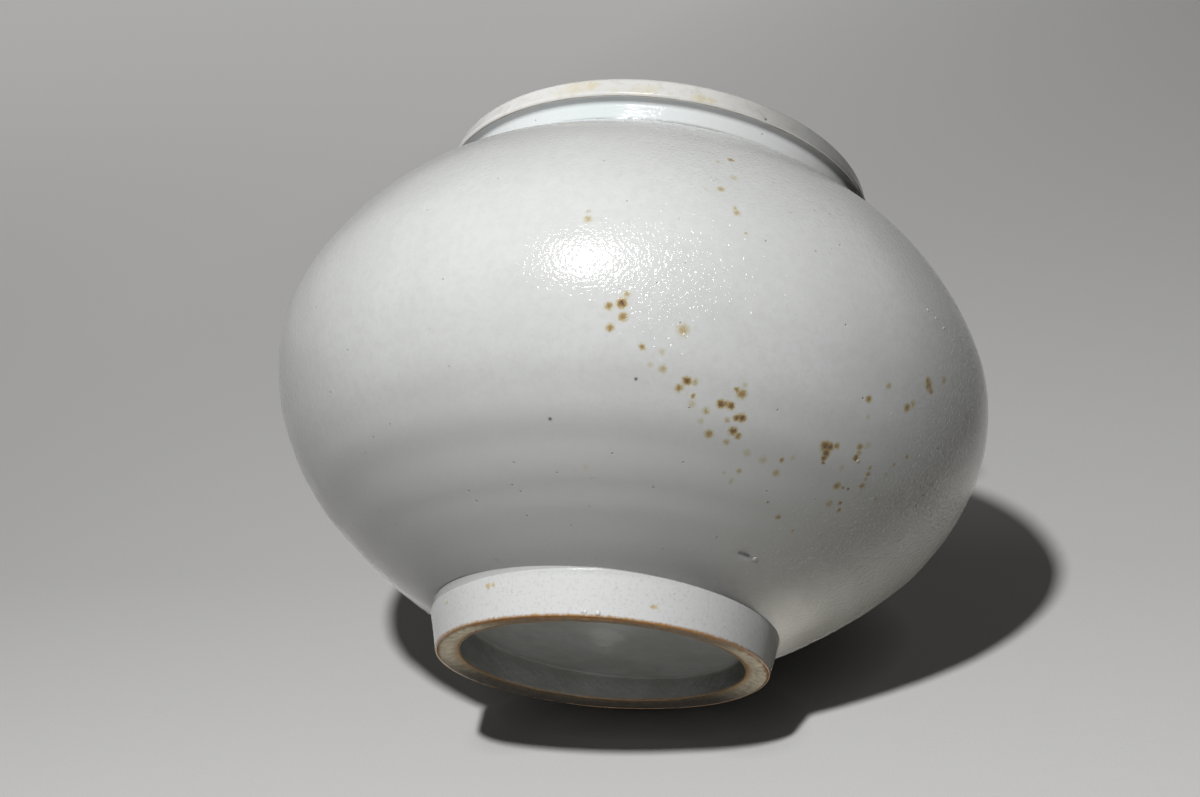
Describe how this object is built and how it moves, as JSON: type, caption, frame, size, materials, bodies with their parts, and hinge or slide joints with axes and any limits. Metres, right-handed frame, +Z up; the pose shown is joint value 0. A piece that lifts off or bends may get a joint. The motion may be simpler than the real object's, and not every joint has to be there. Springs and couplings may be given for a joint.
{
  "type": "moon jar",
  "caption": "Squat white porcelain moon jar: a round glazed body that leans a little, a short neck with a turned-out lip and a bare-edged standing foot ring.",
  "frame": {"origin": "on the standing face's plane, straight under the middle of the belly", "axes": "+Z up, square to the standing face; -Y towards the side that the picture shows; the body leans 3 degrees towards +X and a little towards +Y"},
  "size_m": [0.3598, 0.3599, 0.2716],
  "materials": {
    "porcelain": "fired clay body, hidden under the glaze",
    "slip": "fired liquid clay, hidden",
    "bare_foot": "bare, gritty, burnt orange at its edges",
    "glaze": "glossy grey-white with iron spots",
    "well_glaze": "thin grey glaze"
  },
  "bodies": {
    "root": {"lower_bowl": "porcelain", "seam_slip": "slip", "upper_bowl": "porcelain", "neck_slip": "slip", "mouth_rim": "porcelain", "foot_ring": "bare_foot", "foot_slip": "slip", "outer_glaze": "glaze", "inner_glaze": "glaze", "well_glaze": "well_glaze"}
  },
  "joints": []
}
